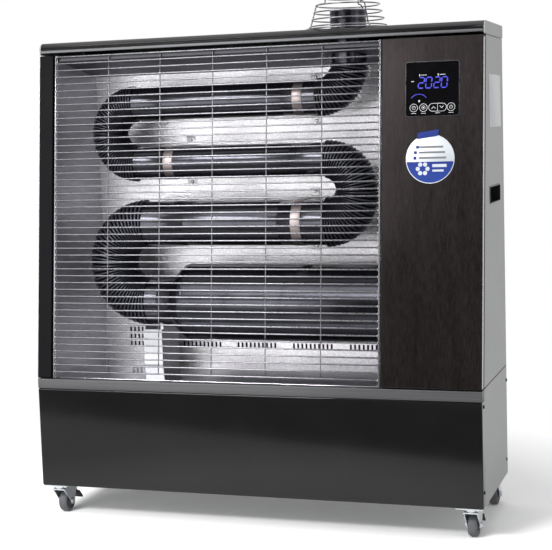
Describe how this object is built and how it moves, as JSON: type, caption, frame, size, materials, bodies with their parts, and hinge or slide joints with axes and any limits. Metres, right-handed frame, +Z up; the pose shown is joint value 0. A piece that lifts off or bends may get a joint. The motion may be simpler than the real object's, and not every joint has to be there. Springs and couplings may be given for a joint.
{
  "type": "diesel infrared heater",
  "caption": "Cabinet heater on castors: a burner's hot gas runs up a serpentine of steel tubes in front of a bright reflector, behind a wire guard, to a caged stack on top.",
  "frame": {"origin": "middle of the footprint on the floor", "axes": "+X to the viewer's right along the front, +Y to the back, +Z up; the front with its wire guard looks along -Y"},
  "size_m": [0.993, 0.3306, 1.127],
  "materials": {
    "silver_grey_paint": "silver grey paint",
    "moulded_black": "black moulded plastic",
    "satin_stainless": "satin stainless sheet",
    "zinc_plated_sheet": "zinc plated sheet",
    "cast_aluminium": "cast aluminium",
    "motor_black": "black painted motor",
    "bright_zinc": "bright zinc plated steel",
    "grey_black_rubber": "dark grey rubber",
    "blued_tube_steel": "satin blue black heat coloured steel",
    "circuit_board": "green circuit board",
    "black_glass": "glossy black touch panel",
    "brushed_stainless": "brushed stainless sheet",
    "matt_black_bend": "matt black pleated steel",
    "chromed_wire": "bright chromed wire",
    "red_filler_cap": "red moulded plastic",
    "brass": "machined brass",
    "tank_grey_paint": "grey paint",
    "dark_header_steel": "dark reflecting steel",
    "dark_grey_paint": "satin dark grey paint",
    "gloss_black_paint": "gloss black stove enamel",
    "stucco_aluminium": "embossed bright aluminium",
    "brown_hairline_film": "dark brown vertical hairline, semi gloss",
    "heat_tinted_strap": "steel strap with a copper heat tint"
  },
  "bodies": {
    "cabinet": {"base_tub": "silver_grey_paint", "burner_bulkhead": "satin_stainless", "burner_housing": "cast_aluminium", "burner_motor": "motor_black", "cable_gland": "moulded_black", "castor_plate_front_left": "bright_zinc", "castor_plate_front_right": "bright_zinc", "castor_plate_rear_left": "bright_zinc", "castor_plate_rear_right": "bright_zinc", "chamber_floor": "satin_stainless", "combustion_drum": "blued_tube_steel", "control_board": "circuit_board", "control_glass": "black_glass", "control_housing": "bright_zinc", "drum_stand": "brushed_stainless", "exhaust_elbow": "matt_black_bend", "exhaust_guard": "chromed_wire", "exhaust_stack": "blued_tube_steel", "fuel_pump": "brass", "fuel_tank": "tank_grey_paint", "guard_stays": "chromed_wire", "guard_wires": "chromed_wire", "header_panel": "dark_header_steel", "left_column": "dark_grey_paint", "left_liner": "satin_stainless", "left_side_panel": "silver_grey_paint", "lid": "gloss_black_paint", "lid_end_cap_left": "silver_grey_paint", "lid_end_cap_right": "silver_grey_paint", "lid_trim_strip": "brushed_stainless", "lower_front_panel": "gloss_black_paint", "lower_left_bend": "matt_black_bend", "mid_deck": "zinc_plated_sheet", "rear_cover": "silver_grey_paint", "rear_reflector": "stucco_aluminium", "right_bend": "matt_black_bend", "right_front_panel": "brown_hairline_film", "right_side_panel": "silver_grey_paint", "side_handle_left": "moulded_black", "side_handle_right": "moulded_black", "tube_clamp_row_1": "heat_tinted_strap", "tube_clamp_row_2": "heat_tinted_strap", "tube_clamp_row_3": "heat_tinted_strap", "tube_row_1": "blued_tube_steel", "tube_row_2": "blued_tube_steel", "tube_row_3": "blued_tube_steel", "upper_left_bend": "matt_black_bend", "waist_ledge": "brushed_stainless"},
    "castor_front_left": {"castor_fork_front_left": "bright_zinc"},
    "wheel_front_left": {"castor_wheel_front_left": "grey_black_rubber"},
    "pedal_front_left": {"brake_pedal_front_left": "moulded_black"},
    "castor_front_right": {"castor_fork_front_right": "bright_zinc"},
    "wheel_front_right": {"castor_wheel_front_right": "grey_black_rubber"},
    "pedal_front_right": {"brake_pedal_front_right": "moulded_black"},
    "castor_rear_left": {"castor_fork_rear_left": "bright_zinc"},
    "wheel_rear_left": {"castor_wheel_rear_left": "grey_black_rubber"},
    "castor_rear_right": {"castor_fork_rear_right": "bright_zinc"},
    "wheel_rear_right": {"castor_wheel_rear_right": "grey_black_rubber"},
    "fan": {"burner_fan": "zinc_plated_sheet"},
    "filler_cap": {"fuel_cap": "red_filler_cap"}
  },
  "joints": [
    {"name": "castor_front_left_swivel", "type": "hinge", "parent": "cabinet", "child": "castor_front_left", "pos_m": [-0.4645, -0.13435, 0.05999], "axis": [0, 0, 1], "continuous": true},
    {"name": "wheel_front_left_spin", "type": "hinge", "parent": "castor_front_left", "child": "wheel_front_left", "pos_m": [-0.4645, -0.11035, 0.02469], "axis": [1, 0, 0], "continuous": true},
    {"name": "brake_front_left", "type": "hinge", "parent": "castor_front_left", "child": "pedal_front_left", "pos_m": [-0.4645, -0.09135, 0.05189], "axis": [-1, 0, 0], "range_deg": [0, 16]},
    {"name": "castor_front_right_swivel", "type": "hinge", "parent": "cabinet", "child": "castor_front_right", "pos_m": [0.4645, -0.13435, 0.05999], "axis": [0, 0, 1], "continuous": true},
    {"name": "wheel_front_right_spin", "type": "hinge", "parent": "castor_front_right", "child": "wheel_front_right", "pos_m": [0.4645, -0.11035, 0.02469], "axis": [1, 0, 0], "continuous": true},
    {"name": "brake_front_right", "type": "hinge", "parent": "castor_front_right", "child": "pedal_front_right", "pos_m": [0.4645, -0.09135, 0.05189], "axis": [-1, 0, 0], "range_deg": [0, 16]},
    {"name": "castor_rear_left_swivel", "type": "hinge", "parent": "cabinet", "child": "castor_rear_left", "pos_m": [-0.4645, 0.11665, 0.05999], "axis": [0, 0, 1], "continuous": true},
    {"name": "wheel_rear_left_spin", "type": "hinge", "parent": "castor_rear_left", "child": "wheel_rear_left", "pos_m": [-0.4645, 0.14065, 0.02469], "axis": [1, 0, 0], "continuous": true},
    {"name": "castor_rear_right_swivel", "type": "hinge", "parent": "cabinet", "child": "castor_rear_right", "pos_m": [0.4645, 0.11665, 0.05999], "axis": [0, 0, 1], "continuous": true},
    {"name": "wheel_rear_right_spin", "type": "hinge", "parent": "castor_rear_right", "child": "wheel_rear_right", "pos_m": [0.4645, 0.14065, 0.02469], "axis": [1, 0, 0], "continuous": true},
    {"name": "fan_spin", "type": "hinge", "parent": "cabinet", "child": "fan", "pos_m": [0.3565, 0.00665, 0.46589], "axis": [1, 0, 0], "continuous": true},
    {"name": "filler_cap_off", "type": "slide", "parent": "cabinet", "child": "filler_cap", "axis": [0, 0.9063, 0.4226], "range_m": [0, 0.04]}
  ]
}
